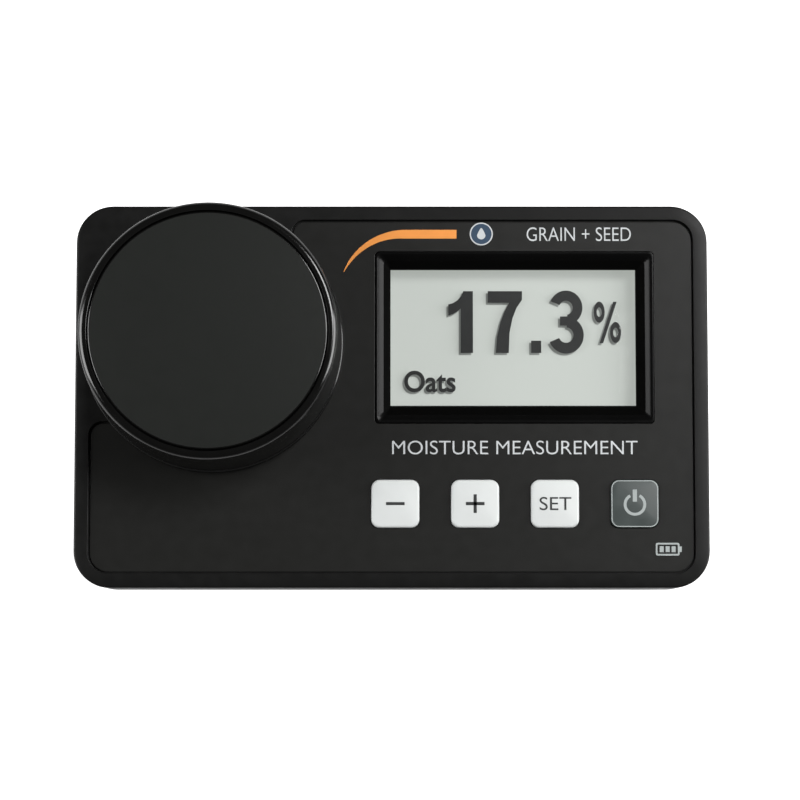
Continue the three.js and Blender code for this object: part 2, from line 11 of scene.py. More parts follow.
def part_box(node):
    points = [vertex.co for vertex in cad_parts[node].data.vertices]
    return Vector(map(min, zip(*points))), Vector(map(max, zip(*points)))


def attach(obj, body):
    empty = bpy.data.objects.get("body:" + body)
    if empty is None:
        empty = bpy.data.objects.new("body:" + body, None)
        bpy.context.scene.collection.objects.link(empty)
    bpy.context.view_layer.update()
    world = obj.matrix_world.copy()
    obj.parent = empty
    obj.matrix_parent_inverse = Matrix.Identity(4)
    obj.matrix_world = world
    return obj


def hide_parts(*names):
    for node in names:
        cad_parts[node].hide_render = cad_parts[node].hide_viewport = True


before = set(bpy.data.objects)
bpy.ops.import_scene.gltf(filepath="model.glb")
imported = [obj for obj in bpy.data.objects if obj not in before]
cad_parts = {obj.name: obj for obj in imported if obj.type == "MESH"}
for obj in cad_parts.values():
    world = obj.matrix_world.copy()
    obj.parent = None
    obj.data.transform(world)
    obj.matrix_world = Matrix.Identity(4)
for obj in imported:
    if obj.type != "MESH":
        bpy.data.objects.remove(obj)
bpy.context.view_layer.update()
print("frame loaded:", len(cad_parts), "nodes")

perMetre = 1000          # millimetres in a metre
tiny = 1e-4              # heights and points closer than this count as one
near = 1e-3              # how close an edge lies to the ring it is looked up by
over = 1                 # how far a cutter runs past the surface it cuts
cut, join = "DIFFERENCE", "UNION"
printThickness = 0.03
noiseLow, noiseHigh = 0.3, 0.7    # where most of a noise's values lie
fine, wideTurn = 128, 96    # segments in a full turn of the widest round parts


def nodeBox(node):
    low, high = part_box(node)
    return low * perMetre, high * perMetre


def middle(node):
    low, high = nodeBox(node)
    return (low + high) / 2


# places worked out from the frame
caseLow, caseHigh = nodeBox("front_shell")
filmLow, filmHigh = nodeBox("front_overlay")
capLow, capHigh = nodeBox("cap_body")
chamberSpot = middle("chamber_cup")
bezelLow, bezelHigh = nodeBox("display_bezel")
screenLow, screenHigh = nodeBox("lcd_glass")
windowLow, windowHigh = nodeBox("display_window")
seamHeight = caseLow.z
panelHeight = filmHigh.z
keyNames = ["minus", "plus", "set", "power"]


def emptyMaterial(name):
    material = bpy.data.materials.new(name)
    material.use_nodes = True
    shader = material.node_tree.nodes["Principled BSDF"]
    return material, material.node_tree, shader


def setInputs(node, values):
    for name, value in values.items():
        node.inputs[name].default_value = value


def objectNoise(tree, size, detail=2.0):
    # noise whose blotches are about size millimetres across
    place = tree.nodes.new("ShaderNodeTexCoord")
    noise = tree.nodes.new("ShaderNodeTexNoise")
    setInputs(noise, {"Scale": perMetre / size, "Detail": detail})
    tree.links.new(place.outputs["Object"], noise.inputs["Vector"])
    return noise.outputs["Fac"]


def spread(tree, value, low, high):
    # the middle of a noise stretched to run from low to high
    node = tree.nodes.new("ShaderNodeMapRange")
    setInputs(node, {"From Min": noiseLow, "From Max": noiseHigh, "To Min": low, "To Max": high})
    tree.links.new(value, node.inputs["Value"])
    return node.outputs["Result"]


def mixColours(tree, factor, first, second):
    node = tree.nodes.new("ShaderNodeMix")
    node.data_type = "RGBA"
    setInputs(node, {"A": (*first, 1), "B": (*second, 1)})
    tree.links.new(factor, node.inputs["Factor"])
    return node.outputs["Result"]


def bumpFrom(tree, height, depth, before=None):
    node = tree.nodes.new("ShaderNodeBump")
    node.inputs["Distance"].default_value = depth / perMetre
    tree.links.new(height, node.inputs["Height"])
    if before:
        tree.links.new(before, node.inputs["Normal"])
    return node.outputs["Normal"]


# what a finish has when its own entry doesn't say otherwise; waves and grain are (depth, size)
plainLook = {
    "vary": 0.12, "cloudSize": 9, "cloudDetail": 3, "polishSize": 3, "roughSwing": 0.04,
    "metal": 0, "shine": 0.5, "coat": 0, "coatRoughness": 0.05, "glow": None,
    "wave": None, "waveDetail": 1, "grain": None,
}


def finish(name, ownLook):
    # a moulded, printed, rubber or metal surface with grain, cloudiness and uneven polish
    look = {**plainLook, **ownLook}
    material, tree, shader = emptyMaterial(name)
    colour, vary = Vector(look["colour"]), look["vary"]
    share = spread(tree, objectNoise(tree, look["cloudSize"], look["cloudDetail"]), 0, 1)
    mixed = mixColours(tree, share, colour * (1 - vary), colour * (1 + vary))
    tree.links.new(mixed, shader.inputs["Base Color"])
    rough, swing = look["roughness"], look["roughSwing"]
    polish = spread(tree, objectNoise(tree, look["polishSize"]), rough - swing, rough + swing)
    tree.links.new(polish, shader.inputs["Roughness"])
    setInputs(shader, {"Metallic": look["metal"], "Specular IOR Level": look["shine"],
                       "Coat Weight": look["coat"], "Coat Roughness": look["coatRoughness"]})
    if look["glow"]:
        setInputs(shader, {"Emission Color": (*look["glow"], 1), "Emission Strength": 1})
    normal = None
    if look["wave"]:
        depth, size = look["wave"]
        normal = bumpFrom(tree, objectNoise(tree, size, look["waveDetail"]), depth)
    if look["grain"]:
        depth, size = look["grain"]
        normal = bumpFrom(tree, objectNoise(tree, size), depth, normal)
    if normal:
        tree.links.new(normal, shader.inputs["Normal"])
    return material


turnedLook = {
    "colour": (0.6, 0.6, 0.585), "darker": 0.9, "cloudSize": 6, "roughness": 0.24, "roughSwing": 0.05,
    "polishSize": 2, "ringSize": 0.5, "ringsPerUnit": 20, "wander": 0.6, "depth": 0.006,
}


def turnedMetal(name, look, centre):
    # lathe marks: fine rings about the upright axis through centre
    material, tree, shader = emptyMaterial(name)
    shader.inputs["Metallic"].default_value = 1
    place = tree.nodes.new("ShaderNodeTexCoord")
    shift = tree.nodes.new("ShaderNodeMapping")
    shift.inputs["Location"].default_value = (-centre.x / perMetre, -centre.y / perMetre, 0)
    rings = tree.nodes.new("ShaderNodeTexWave")
    rings.wave_type = "RINGS"
    rings.rings_direction = "Z"
    setInputs(rings, {"Scale": perMetre / look["ringSize"] / look["ringsPerUnit"],
                      "Distortion": look["wander"]})
    tree.links.new(place.outputs["Object"], shift.inputs["Vector"])
    tree.links.new(shift.outputs["Vector"], rings.inputs["Vector"])
    tree.links.new(bumpFrom(tree, rings.outputs["Fac"], look["depth"]), shader.inputs["Normal"])
    colour = Vector(look["colour"])
    cloud = spread(tree, objectNoise(tree, look["cloudSize"]), 0, 1)
    mixed = mixColours(tree, cloud, colour * look["darker"], colour)
    tree.links.new(mixed, shader.inputs["Base Color"])
    rough, swing = look["roughness"], look["roughSwing"]
    uneven = spread(tree, objectNoise(tree, look["polishSize"]), rough - swing, rough + swing)
    tree.links.new(uneven, shader.inputs["Roughness"])
    return material


def clearWindow(name, look):
    # a thin clear sheet: mostly see-through, with a faint polished sheen
    material, tree, shader = emptyMaterial(name)
    setInputs(shader, {"Base Color": (*look["colour"], 1), "Alpha": look["alpha"]})
    dust = spread(tree, objectNoise(tree, look["dustSize"]), *look["roughness"])
    tree.links.new(dust, shader.inputs["Roughness"])
    return material


windowFinish = {"colour": (0.02, 0.02, 0.02), "alpha": 0.05, "dustSize": 5, "roughness": (0.03, 0.08)}
looks = {
    "casePlastic": {"colour": (0.0048, 0.0048, 0.0046), "roughness": 0.4, "shine": 0.2,
                    "grain": (0.01, 0.28), "wave": (0.008, 14)},
    "film": {"colour": (0.0085, 0.0085, 0.0077), "roughness": 0.32, "roughSwing": 0.015, "shine": 0.42,
             "cloudSize": 30, "vary": 0.05, "grain": (0.004, 0.16)},
    "capGloss": {"colour": (0.003, 0.003, 0.0028), "roughness": 0.14, "roughSwing": 0.03,
                 "wave": (0.012, 9)},
    "capFace": {"colour": (0.0058, 0.0068, 0.0056), "roughness": 0.58, "shine": 0.22, "cloudSize": 24,
                "vary": 0.05, "grain": (0.01, 0.22)},
    "bezelGloss": {"colour": (0.0022, 0.0022, 0.0022), "roughness": 0.26, "roughSwing": 0.01,
                   "shine": 0.12},
    "bezelMatt": {"colour": (0.0012, 0.0012, 0.0011), "roughness": 0.7, "shine": 0.03,
                  "grain": (0.01, 0.3)},
    # the screen's ground glows: partly the display's backlight, partly painted light that fills the
    # shade the bezel's walls cast on it
    "screenGround": {"colour": (0.25, 0.265, 0.25), "roughness": 0.5, "cloudSize": 60, "vary": 0.03,
                     "grain": (0.001, 0.3), "glow": (0.385, 0.412, 0.385)},
    # the painted shadow of the figures on the screen's ground: pale grey with a faint glow
    "screenPaintedShadow": {"colour": (0.2, 0.212, 0.204), "roughness": 0.5, "vary": 0.03,
                    "glow": (0.13, 0.139, 0.13)},
    "screenInk": {"colour": (0.012, 0.0135, 0.013), "roughness": 0.45, "vary": 0.05},
    "whiteKey": {"colour": (0.6, 0.62, 0.612), "roughness": 0.42, "cloudSize": 6, "vary": 0.02,
                 "grain": (0.004, 0.3)},
    "greyKey": {"colour": (0.045, 0.055, 0.053), "roughness": 0.38, "cloudSize": 6, "vary": 0.1,
                "grain": (0.004, 0.3)},
    "rubber": {"colour": (0.012, 0.012, 0.012), "roughness": 0.8, "grain": (0.02, 0.35)},
    "chamberPlastic": {"colour": (0.028, 0.03, 0.033), "roughness": 0.4, "grain": (0.008, 0.3)},
    "solderMask": {"colour": (0.012, 0.11, 0.045), "roughness": 0.35, "cloudSize": 4, "vary": 0.25,
                   "wave": (0.02, 1.6)},
    "darkMoulding": {"colour": (0.014, 0.014, 0.015), "roughness": 0.5, "grain": (0.01, 0.3)},
    "nickel": {"colour": (0.66, 0.65, 0.62), "roughness": 0.24, "metal": 1, "vary": 0.05,
               "wave": (0.02, 2)},
    "screwSteel": {"colour": (0.5, 0.5, 0.49), "roughness": 0.34, "metal": 1, "grain": (0.006, 0.4)},
    "brass": {"colour": (0.62, 0.45, 0.19), "roughness": 0.3, "metal": 1, "grain": (0.006, 0.5)},
    "diffuser": {"colour": (0.85, 0.85, 0.8), "roughness": 0.5},
    "cellSleeve": {"colour": (0.03, 0.07, 0.125), "roughness": 0.22, "cloudSize": 12, "coat": 0.5},
    "cellBand": {"colour": (0.42, 0.43, 0.44), "roughness": 0.24, "coat": 0.5},
    "leadSleeve": {"colour": (0.32, 0.02, 0.015), "roughness": 0.45, "grain": (0.006, 0.4)},
}
inks = {
    "lightInk": (0.52, 0.54, 0.55), "darkInk": (0.018, 0.02, 0.02), "greyInk": (0.33, 0.36, 0.355),
}
for name, colour in inks.items():
    looks[name] = {"colour": colour, "roughness": 0.5, "cloudSize": 3, "vary": 0.05}
looks["orangeInk"] = {"colour": (0.79, 0.285, 0.05), "roughness": 0.45, "cloudSize": 5, "vary": 0.05}
looks["blueInk"] = {"colour": (0.018, 0.045, 0.085), "roughness": 0.45, "cloudSize": 3, "vary": 0.06}
materials = {name: finish(name, look) for name, look in looks.items()}
materials["turnedSteel"] = turnedMetal("turnedSteel", turnedLook, chamberSpot)
materials["clearWindow"] = clearWindow("clearWindow", windowFinish)


def moved(shape, shift):
    bmesh.ops.translate(shape, vec=shift, verts=shape.verts)
    return shape


def bevelled(shape, geometry, width, steps, affect="EDGES"):
    bmesh.ops.bevel(shape, geom=geometry, offset=width, segments=steps, profile=0.5, affect=affect,
                    material=-1)


def roundedBlock(low, high, corner, steps=8):
    # a box with its upright edges rounded
    shape = bmesh.new()
    bmesh.ops.create_cube(shape, size=1)
    low, high = Vector(low), Vector(high)
    bmesh.ops.scale(shape, vec=high - low, verts=shape.verts)
    moved(shape, (low + high) / 2)
    if corner:
        uprights = [e for e in shape.edges if abs(e.verts[0].co.z - e.verts[1].co.z) > tiny]
        bevelled(shape, uprights, corner, steps)
    return shape


def centredBlock(x, y, halfX, halfY, low, high, corner, steps):
    return roundedBlock((x - halfX, y - halfY, low), (x + halfX, y + halfY, high), corner, steps)


def roundEdges(shape, wanted, width, steps=3):
    # bevels the edges whose two ends both satisfy wanted(point)
    edges = [e for e in shape.edges if wanted(e.verts[0].co) and wanted(e.verts[1].co)]
    bmesh.ops.bevel(shape, geom=edges, offset=width, segments=steps, profile=0.5,
                    affect="EDGES", material=-1, clamp_overlap=True)


def atHeight(height):
    return lambda point: abs(point.z - height) < tiny


def cylinder(radius, x, y, low, high, steps=48, top=None):
    shape = bmesh.new()
    bmesh.ops.create_cone(shape, cap_ends=True, segments=steps, radius1=radius,
                          radius2=radius if top is None else top, depth=high - low)
    return moved(shape, (x, y, (low + high) / 2))


def lathe(profile, centre, steps=wideTurn, rounds=()):
    # spins (radius, height) points about the upright axis; rounds are (radius, height, width, steps)
    shape = bmesh.new()
    ring = [shape.verts.new((radius, 0, height)) for radius, height in profile]
    for first, second in zip(ring, ring[1:]):
        shape.edges.new((first, second))
    bmesh.ops.spin(shape, geom=shape.verts[:] + shape.edges[:], cent=(0, 0, 0), axis=(0, 0, 1),
                   angle=math.tau, steps=steps, use_merge=True)
    bmesh.ops.remove_doubles(shape, verts=shape.verts, dist=tiny)
    bmesh.ops.recalc_face_normals(shape, faces=shape.faces)
    for radius, height, width, count in rounds:
        roundEdges(shape, lambda p: abs(p.z - height) < near and abs(p.xy.length - radius) < near,
                   width, count)
    return moved(shape, (centre.x, centre.y, 0))


def meshFrom(name, shape):
    mesh = bpy.data.meshes.new(name)
    shape.to_mesh(mesh)
    shape.free()
    return mesh


def placed(name, data):
    holder = bpy.data.objects.new(name, data)
    bpy.context.scene.collection.objects.link(holder)
    return holder


def gathered(*shapes):
    # several shapes as one bmesh, left as separate shells
    whole = bmesh.new()
    for shape in shapes:
        mesh = meshFrom("part", shape)
        whole.from_mesh(mesh)
        bpy.data.meshes.remove(mesh)
    return whole


def finalMesh(holder):
    # the mesh of an object once its modifiers or its lettering are worked out
    bpy.context.view_layer.update()
    return bpy.data.meshes.new_from_object(holder.evaluated_get(bpy.context.evaluated_depsgraph_get()))


def combined(shape, steps):
    # cuts and joins made one after another
    body = placed("tool", meshFrom("tool", shape))
    tools = []
    for operation, other in steps:
        tool = placed("tool", meshFrom("tool", other))
        tools.append(tool)
        change = body.modifiers.new("change", "BOOLEAN")
        change.operation = operation
        change.solver = "EXACT"
        change.object = tool
    done = finalMesh(body)
    result = bmesh.new()
    result.from_mesh(done)
    bpy.data.meshes.remove(done)
    for tool in [body, *tools]:
        bpy.data.meshes.remove(tool.data)
    bmesh.ops.dissolve_degenerate(result, dist=tiny, edges=result.edges)
    return result


def cutAway(shape, *tools):
    return combined(shape, [(cut, tool) for tool in tools])


edgeLook = {"sharpAngle": 32, "softAngle": 40, "softSteps": 2}


def addPiece(name, shape, body, material, stands=(), softEdge=0):
    bmesh.ops.scale(shape, vec=Vector((1, 1, 1)) / perMetre, verts=shape.verts)
    mesh = meshFrom(name, shape)
    mesh.shade_smooth()
    mesh.set_sharp_from_angle(angle=math.radians(edgeLook["sharpAngle"]))
    piece = placed(name, mesh)
    for each in material.split():
        mesh.materials.append(materials[each])
    if softEdge:
        bevel = piece.modifiers.new("soft edge", "BEVEL")
        bevel.width = softEdge / perMetre
        bevel.segments = edgeLook["softSteps"]
        bevel.limit_method = "ANGLE"
        bevel.angle_limit = math.radians(edgeLook["softAngle"])
        bevel.use_clamp_overlap = False
        bevel.harden_normals = True
    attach(piece, body)
    if stands:
        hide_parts(*stands)
    return piece


textLook = {"halfDepth": 0.5, "curveSteps": 6, "weld": 1e-5}


def printedText(words, x, y, height, width, bold=0.0, thickness=printThickness):
    # a word as a thin solid centred on (x, y), its capitals height tall and its length width
    curve = bpy.data.curves.new("words", "FONT")
    curve.body = words
    curve.offset = bold
    curve.extrude = textLook["halfDepth"]
    curve.resolution_u = textLook["curveSteps"]
    holder = placed("words", curve)
    mesh = finalMesh(holder)
    bpy.data.objects.remove(holder)
    shape = bmesh.new()
    shape.from_mesh(mesh)
    bpy.data.meshes.remove(mesh)
    bmesh.ops.remove_doubles(shape, verts=shape.verts, dist=textLook["weld"])
    xs = [v.co.x for v in shape.verts]
    ys = [v.co.y for v in shape.verts]
    size = Vector((max(xs) - min(xs), max(ys) - min(ys)))
    centre = Vector(((max(xs) + min(xs)) / 2, (max(ys) + min(ys)) / 2, 0))
    moved(shape, -centre)
    bmesh.ops.scale(shape, vec=(width / size.x, height / size.y, thickness), verts=shape.verts)
    return moved(shape, (x, y, thickness / 2))


def lifted(shape, height):
    return moved(shape, (0, 0, height))


def bar(x, y, width, depth, corner=0.05, thickness=printThickness):
    return centredBlock(x, y, width / 2, depth / 2, 0, thickness, corner, 3)


def raised(shape, thickness):
    # a flat outline drawn up into a solid
    grown = bmesh.ops.extrude_face_region(shape, geom=shape.faces[:])
    top = [v for v in grown["geom"] if isinstance(v, bmesh.types.BMVert)]
    bmesh.ops.translate(shape, vec=(0, 0, thickness), verts=top)
    bmesh.ops.recalc_face_normals(shape, faces=shape.faces)
    return shape


def flatShape(points, x, y, thickness=printThickness):
    # a thin solid with a drawn outline, moved to (x, y)
    shape = bmesh.new()
    shape.faces.new([shape.verts.new((x + across, y + up, 0)) for across, up in points])
    return raised(shape, thickness)


def stretched(shape, centre, across, up):
    # scales a flat shape about a point
    about = Matrix.Translation((-centre[0], -centre[1], 0))
    bmesh.ops.scale(shape, vec=(across, up, 1), space=about, verts=shape.verts)
    return shape


def arcBand(x, y, inner, outer, start, sweep, thickness=printThickness, steps=40):
    # a flat band along an arc; start and sweep are in degrees
    shape = bmesh.new()
    turn = Matrix.Rotation(math.radians(start), 3, "Z")
    corners = [(inner, 0, 0), (outer, 0, 0), (outer, 0, thickness), (inner, 0, thickness)]
    face = shape.faces.new([shape.verts.new(turn @ Vector(corner)) for corner in corners])
    full = abs(sweep) >= 360
    bmesh.ops.spin(shape, geom=[face, *face.verts, *face.edges], cent=(0, 0, 0), axis=(0, 0, 1),
                   angle=math.radians(sweep), steps=steps, use_merge=full)
    if full:
        # the upright faces that cross the band, which nothing can see
        level = 0.1
        across = [f for f in shape.faces if abs(f.normal.z) < level
                  and abs(f.normal.xy.dot(f.calc_center_median().xy.normalized())) < level]
        bmesh.ops.delete(shape, geom=across, context="FACES_ONLY")
    bmesh.ops.recalc_face_normals(shape, faces=shape.faces)
    return moved(shape, (x, y, 0))


caseLook = {
    "corner": 8.7, "seamInset": 0.5, "baseInset": 3.5, "border": 3.0,
    "crown": 0.16, "topRound": 0.5, "baseRound": 2.0, "wall": 2.4,
    "ceiling": 42.1, "mouthR": 27.6, "holeLow": 41, "holeGap": 0.15, "softFront": 0.12,
    "softRear": 0.15,
}
filmLook = {
    "corner": 4.6, "notchCorner": 3.0, "notchX": -23.6, "notchY": -6.4,
    "capGap": 1.2, "recessGap": 0.3, "recessDrop": 0.05, "shrink": 0.2, "holeGap": 0.1,
    "softEdge": 0.06,
}
displayLook = {
    "halfX": 33.05, "halfY": 20.5, "corner": 0.9,
    "viewSpot": Vector((28.9, 14.55)), "view": Vector((58.4, 32.8)),
}
keyLook = {
    "side": 11.35, "corner": 2.0, "low": 41, "topDrop": 0.04, "edge": 0.55,
    "flange": (13.4, 40.65, 42.05),    # side, bottom, top
    "stem": (2.2, 0.2),                # radius, reach into the flange
    "outline": (-0.18, -0.8, 0.1),     # outer and inner growth, drop from the node's top
}


def leanIn(shape):
    # the case's sides stand almost upright above the seam and lean in below it
    base = nodeBox("rear_shell")[0].z
    size = caseHigh.xy * 2
    seamInset, baseInset = caseLook["seamInset"], caseLook["baseInset"]
    for vert in shape.verts:
        z = vert.co.z
        if z >= seamHeight:
            inset = seamInset * (caseHigh.z - z) / (caseHigh.z - seamHeight)
        else:
            inset = seamInset + (baseInset - seamInset) * ((seamHeight - z) / (seamHeight - base))
        vert.co.x *= 1 - 2 * inset / size.x
        vert.co.y *= 1 - 2 * inset / size.y
    return shape


def caseOutline(inset, low, high):
    halfX, halfY = caseHigh.x - inset, caseHigh.y - inset
    corner = caseLook["corner"] - inset
    return centredBlock(0, 0, halfX, halfY, low, high, corner, 12)


def filmShape(grow, low, high):
    # the film's outline, with a corner left out and an arc cut clear of the chamber
    look = filmLook
    halfX = filmHigh.x + grow
    halfY = filmHigh.y + grow
    notchX = look["notchX"] - grow
    notchY = look["notchY"] + grow
    corners = [
        (-halfX, -halfY, look["corner"]), (halfX, -halfY, look["corner"]),
        (halfX, halfY, look["corner"]), (notchX, halfY, look["notchCorner"]),
        (notchX, notchY, 0), (-halfX, notchY, look["notchCorner"]),
    ]
    shape = bmesh.new()
    points = [shape.verts.new((x, y, low)) for x, y, _ in corners]
    shape.faces.new(points)
    for point, (_, _, radius) in zip(points, corners):
        if radius:
            bevelled(shape, [point], radius + grow, 8, "VERTICES")
    raised(shape, high - low)
    radius = capHigh.x - chamberSpot.x - look["capGap"] - grow
    hole = cylinder(radius, *chamberSpot.xy, low - over, high + over, wideTurn)
    return cutAway(shape, hole)


def keyBlock(name, grow, low, high):
    spot = middle("key_" + name)
    half = keyLook["side"] / 2 + grow
    return centredBlock(*spot.xy, half, half, low, high, keyLook["corner"] + grow, 6)


def displayBlock(grow, low, high):
    spot = (bezelLow + bezelHigh) / 2
    halfX, halfY = displayLook["halfX"] + grow, displayLook["halfY"] + grow
    return centredBlock(*spot.xy, halfX, halfY, low, high, displayLook["corner"] + grow, 4)


def panelHoles(grow, low, high):
    return [displayBlock(grow, low, high)] + [keyBlock(name, grow, low, high) for name in keyNames]


def makeFrontShell():
    look = caseLook
    top, past = caseHigh.z, caseHigh.z + over
    shape = leanIn(caseOutline(0, seamHeight, top))
    lid = [f for f in shape.faces if f.normal.z > 0.9]
    # the border slopes down a little from the panel to the case's edge
    ring = bmesh.ops.inset_region(shape, faces=lid, thickness=look["border"])["faces"]
    outer = {v for f in ring for v in f.verts} - {v for f in lid for v in f.verts}
    bmesh.ops.translate(shape, vec=(0, 0, -look["crown"]), verts=list(outer))
    roundEdges(shape, atHeight(top - look["crown"]), look["topRound"], 5)
    inside = leanIn(caseOutline(look["wall"], seamHeight - over, look["ceiling"]))
    mouth = cylinder(look["mouthR"], *chamberSpot.xy, look["holeLow"], past, wideTurn)
    recess = filmShape(filmLook["recessGap"], filmLow.z - filmLook["recessDrop"], past)
    shape = cutAway(shape, inside, mouth, recess, *panelHoles(look["holeGap"], look["holeLow"], past))
    addPiece("case_front", shape, "case", "casePlastic", ["front_shell"],
             look["softFront"])


def makeFilm():
    low, high = filmLow.z, filmHigh.z
    shape = filmShape(-filmLook["shrink"], low, high)
    shape = cutAway(shape, *panelHoles(filmLook["holeGap"], low - over, high + over))
    addPiece("panel_film", shape, "case", "film", ["front_overlay"],
             filmLook["softEdge"])


makeFrontShell()
makeFilm()
print("front shell and film made")

rearLook = {
    "bayLow": (2.2, -29.0), "bayHigh": (63.8, 29.5, 19.6),
    "tub": (1.6, 1, 1.5),           # wall, rise from the base, corner
    "opening": (0.3, 28.5, 1.0),    # gap round the door, its far edge, corner
    "footPocket": (4.6, 0.8),       # radius, depth
}


def makeRearShell():
    low, high = nodeBox("rear_shell")
    doorLow, doorHigh = nodeBox("battery_door")
    wall, below, above = caseLook["wall"], low.z - over, high.z + over
    shape = caseOutline(0, low.z, high.z)
    roundEdges(shape, atHeight(low.z), caseLook["baseRound"], 5)
    shape = leanIn(shape)
    floor = low.z + wall
    steps = [(cut, leanIn(caseOutline(wall, floor, above)))]
    # the cells' bay: a tub joined to the floor, then hollowed and opened for the door
    bayLow, bayHigh = Vector((*rearLook["bayLow"], floor)), Vector(rearLook["bayHigh"])
    tubWall, rise, corner = rearLook["tub"]
    thick = Vector((tubWall, tubWall, tubWall))
    tubLow, tubHigh = bayLow - thick, bayHigh + thick
    tubLow.z = low.z + rise
    steps.append((join, roundedBlock(tubLow, tubHigh, corner, 4)))
    steps.append((cut, roundedBlock(bayLow, bayHigh, 0)))
    gap, end, corner = rearLook["opening"]
    opening = roundedBlock((doorLow.x - gap, doorLow.y - gap, below),
                           (doorHigh.x + gap, end, floor + over), corner, 4)
    steps.append((cut, opening))
    pocketR, depth = rearLook["footPocket"]
    # at each screw a boss, a pillar, the head's well and a bore: (kind, radius, bottom, top, steps)
    posts = [
        (join, 4.2, low.z + 1, 8, 32), (join, 3.4, 7, high.z, 32),
        (cut, 2.9, below, 5, 32), (cut, 1.6, 4, above, 24),
    ]
    for number in range(1, 5):
        foot, screw = middle(f"foot_{number}"), middle(f"case_screw_{number}")
        steps.append((cut, cylinder(pocketR, *foot.xy, below, low.z + depth)))
        steps += [(kind, cylinder(radius, *screw.xy, bottom, top, count))
                  for kind, radius, bottom, top, count in posts]
    addPiece("case_rear", combined(shape, steps), "case", "casePlastic",
             ["rear_shell"], caseLook["softRear"])


footLook = {"radius": 4.4, "round": 0.6}


def makeFeet():
    radius = footLook["radius"]
    for number in range(1, 5):
        low, high = nodeBox(f"foot_{number}")
        profile = [(0, low.z), (radius, low.z), (radius, high.z), (0, high.z)]
        shape = lathe(profile, (low + high) / 2, 48, [(radius, low.z, footLook["round"], 4)])
        addPiece(f"rubber_foot_{number}", shape, "case", "rubber", [f"foot_{number}"])


screwLook = {
    "headRound": 0.5, "recess": (0.5, 1.3, 1.1, 0.15),    # width, reach past the head, depth, corner
    "case": (4.9, 2.6, 1.45),       # top of the head, its radius, radius of the shank
    "pivot": (1.7, 3, 1.45),        # height of the head, then as above
}


def crossScrew(spot, headLow, headHigh, headR, shankR, tip):
    # a pan head seen from below, with a cross recess, and a plain shank
    profile = [(0, headLow), (headR, headLow), (headR, headHigh), (shankR, headHigh), (shankR, tip),
               (0, tip)]
    body = lathe(profile, spot, 32, [(headR, headLow, screwLook["headRound"], 3)])
    width, reach, depth, corner = screwLook["recess"]
    slots = []
    for across, along in ((width, headR * reach), (headR * reach, width)):
        half = Vector((across / 2, along / 2, 0))
        slots.append(roundedBlock(Vector((spot.x, spot.y, headLow - over)) - half,
                                  Vector((spot.x, spot.y, headLow + depth)) + half, corner, 2))
    return cutAway(body, *slots)


def makeCaseScrews():
    for number in range(1, 5):
        node = f"case_screw_{number}"
        low, high = nodeBox(node)
        shape = crossScrew((low + high) / 2, low.z, *screwLook["case"], high.z)
        addPiece(f"cross_screw_{number}", shape, "case", "screwSteel", [node])


doorLook = {
    "thick": 2.0, "corner": 0.8, "edge": 0.25, "end": 28.2, "softEdge": 0.12,
    "hook": (11.7, 4, 25.8, 1, 2.5),          # from the side, half width, start, rise of post and hook
    "grip": (9, 13, 9.5, 4.2, 0.45, 0.62),    # y, lower and upper radius, start below, depth, squash
    "grooves": 7, "groovePitch": 1.9, "grooveWidth": 0.9, "grooveLength": 20,
    "grooveCut": (0.85, 0.42), "taper": (0.05, 1.6),    # depth, corner; share, power
}


def makeDoor():
    look = doorLook
    low, high = nodeBox("battery_door")
    end = look["end"]
    shape = roundedBlock(low, (high.x, end, low.z + look["thick"]), look["corner"], 4)
    roundEdges(shape, atHeight(low.z), look["edge"], 2)
    centre = (low.x + high.x) / 2
    steps = []
    aside, half, start, postRise, hookRise = look["hook"]
    for x in (low.x + aside, high.x - aside):
        post = roundedBlock((x - half, start, low.z + postRise), (x + half, end, high.z), 0)
        hook = roundedBlock((x - half, start, low.z + hookRise), (x + half, high.y, high.z), 0)
        steps += [(join, post), (join, hook)]
    gripY, lowerR, upperR, below, depth, squash = look["grip"]
    gripY += low.y
    hollow = cylinder(lowerR, centre, gripY, low.z - below, low.z + depth, 64, upperR)
    steps.append((cut, stretched(hollow, (centre, gripY), 1, squash)))
    depth, corner = look["grooveCut"]
    share, power = look["taper"]
    wide = look["grooveWidth"] / 2
    for groove in range(look["grooves"]):
        place = groove - (look["grooves"] - 1) / 2
        y = gripY + place * look["groovePitch"]
        half = look["grooveLength"] / 2 * (1 - share * abs(place) ** power)
        cutter = centredBlock(centre, y, half, wide, low.z - over, low.z + depth, corner, 3)
        steps.append((cut, cutter))
    addPiece("cell_door", combined(shape, steps), "battery_door", "casePlastic",
             ["battery_door"], look["softEdge"])


makeRearShell()
makeFeet()
makeCaseScrews()
makeDoor()
print("rear shell, feet, screws and door made")

# a cell's foot and head are (radius, distance from that end)
cellLook = {
    "radius": 7.25, "length": 50.5, "band": 13.0, "jacketR": 6.2, "bandR": 7,
    "foot": [(0, 0), (5.4, 0), (5.8, 0.3), (6.5, 0.3), (7.25, 0.9)],
    "head": [(7.25, 2.2), (6.6, 1.4), (5.6, 1.4), (5.4, 1.1), (2.75, 1.1), (2.75, 0.25), (2.5, 0),
             (0, 0)],
}


def makeCell(number):
    look = cellLook
    low, high = nodeBox(f"battery_{number}")
    half, facing = look["length"] / 2, 1 if number % 2 else -1
    bandLow = half - look["band"]
    profile = [(radius, rise - half) for radius, rise in look["foot"]]
    profile += [(look["radius"], bandLow)] + [(radius, half - drop) for radius, drop in look["head"]]
    shape = lathe(profile, Vector((0, 0, 0)), 48)
    for face in shape.faces:
        centre = face.calc_center_median()
        radius = centre.xy.length
        if radius > look["jacketR"]:
            face.material_index = 1 if centre.z > bandLow and radius > look["bandR"] else 0
        else:
            face.material_index = 2
    turn = Matrix.Rotation(math.radians(-90 * facing), 4, "X")
    place = Matrix.Translation((low + high) / 2)
    bmesh.ops.transform(shape, matrix=place @ turn, verts=shape.verts)
    addPiece(f"cell_{number}", shape, "case", "cellSleeve cellBand nickel",
             [f"battery_{number}"])


